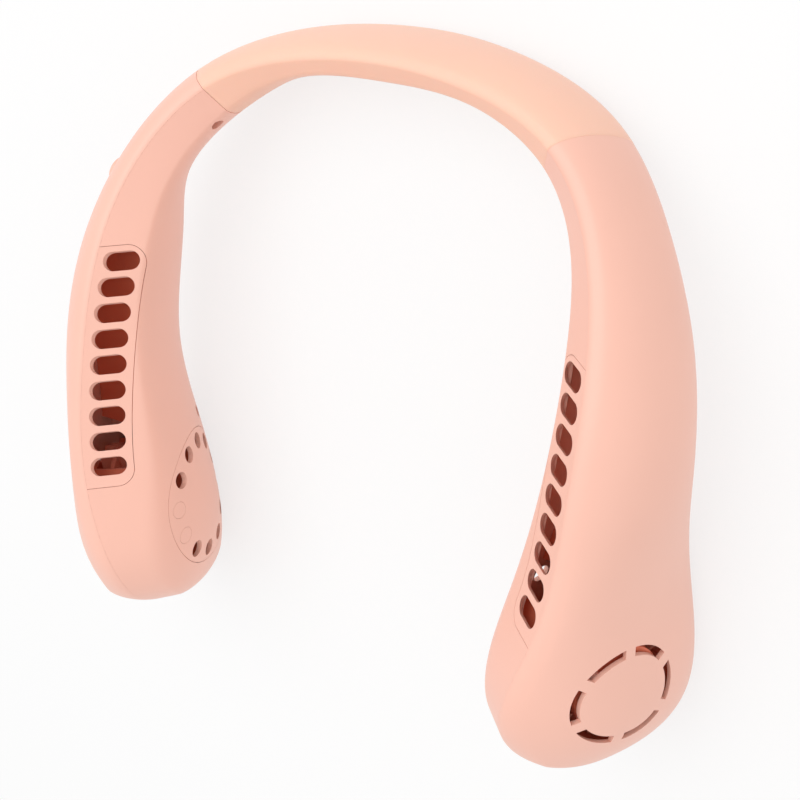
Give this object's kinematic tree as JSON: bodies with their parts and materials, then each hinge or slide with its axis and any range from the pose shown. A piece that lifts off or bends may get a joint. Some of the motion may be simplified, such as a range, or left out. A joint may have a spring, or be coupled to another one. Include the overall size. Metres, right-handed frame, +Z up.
{
  "type": "neck fan",
  "caption": "U-shaped bladeless fan worn round the neck: a soft sprung band joins two hollow arms with slotted air outlets on top and round fan pods at the ends.",
  "frame": {"origin": "middle of the base of the bounding box, on the surface that the fan lies on", "axes": "+Z up with the outlet slots on top, +Y towards the band behind the neck, +X towards the arm without controls"},
  "size_m": [0.193, 0.1798, 0.0618],
  "materials": {
    "shell_plastic": "satin moulded peach plastic",
    "band_silicone": "smooth matte peach silicone",
    "duct_plastic": "satin moulded orange plastic",
    "bracket_plastic": "satin moulded orange plastic",
    "anchor_plastic": "moulded off-white plastic",
    "impeller_plastic": "satin moulded peach plastic",
    "motor_can": "plated can",
    "shaft_steel": "ground",
    "spring_steel": "rolled",
    "screw_steel": "plated",
    "socket_steel": "drawn",
    "cell_sleeve": "shrink sleeve",
    "cable_skin": "soft insulation",
    "button_plastic": "satin moulded peach plastic",
    "switch_plastic": "moulded black plastic",
    "board_laminate": "solder mask",
    "light_pipe": "clear moulded light pipe"
  },
  "bodies": {
    "neck_band": {"neck_band": "band_silicone", "spring_strip": "spring_steel", "band_cable": "cable_skin"},
    "right_arm": {"right_outer_shell": "shell_plastic", "right_inner_shell": "shell_plastic", "right_outlet_grille": "shell_plastic", "right_intake_cover": "shell_plastic", "right_cover_plugs": "shell_plastic", "right_fan_scroll": "duct_plastic", "right_duct_floor": "duct_plastic", "right_motor_bracket": "bracket_plastic", "right_motor": "motor_can", "right_motor_screws": "screw_steel", "right_battery": "cell_sleeve", "right_band_anchor": "anchor_plastic", "right_upper_screw": "screw_steel", "right_lower_screw": "screw_steel"},
    "right_impeller": {"right_impeller": "impeller_plastic", "right_motor_shaft": "shaft_steel"},
    "left_arm": {"left_outer_shell": "shell_plastic", "left_inner_shell": "shell_plastic", "left_outlet_grille": "shell_plastic", "left_intake_cover": "shell_plastic", "left_cover_plugs": "shell_plastic", "left_fan_scroll": "duct_plastic", "left_duct_floor": "duct_plastic", "left_motor_bracket": "bracket_plastic", "left_motor": "motor_can", "left_motor_screws": "screw_steel", "left_battery": "cell_sleeve", "left_band_anchor": "anchor_plastic", "left_upper_screw": "screw_steel", "left_lower_screw": "screw_steel", "tact_switch": "switch_plastic", "control_board": "board_laminate", "usb_socket": "socket_steel", "charge_lights": "light_pipe"},
    "left_impeller": {"left_impeller": "impeller_plastic", "left_motor_shaft": "shaft_steel"},
    "power_button": {"power_button": "button_plastic"}
  },
  "joints": [
    {"name": "right_arm_flex", "type": "hinge", "parent": "neck_band", "child": "right_arm", "pos_m": [0.0275, 0.0802, 0.0175], "axis": [0, 0, 1], "range_deg": [-5, 15], "stiffness_Nm_per_rad": 0.6, "deforming": ["neck_band", "spring_strip", "band_cable"]},
    {"name": "right_impeller_spin", "type": "hinge", "parent": "right_arm", "child": "right_impeller", "pos_m": [0.07331, -0.05729, 0.0329], "axis": [0.8902, -0.149, 0.4305], "continuous": true},
    {"name": "left_arm_flex", "type": "hinge", "parent": "neck_band", "child": "left_arm", "pos_m": [-0.0275, 0.0802, 0.0175], "axis": [0, 0, -1], "range_deg": [-5, 15], "stiffness_Nm_per_rad": 0.6, "deforming": ["neck_band", "spring_strip", "band_cable"]},
    {"name": "left_impeller_spin", "type": "hinge", "parent": "left_arm", "child": "left_impeller", "pos_m": [-0.07331, -0.05729, 0.0329], "axis": [-0.8902, -0.149, 0.4305], "continuous": true},
    {"name": "power_press", "type": "slide", "parent": "left_arm", "child": "power_button", "axis": [0.9646, -0.2637, 0], "range_m": [0, 0.0007], "stiffness_N_per_m": 1500, "springref_m": -0.0004}
  ]
}
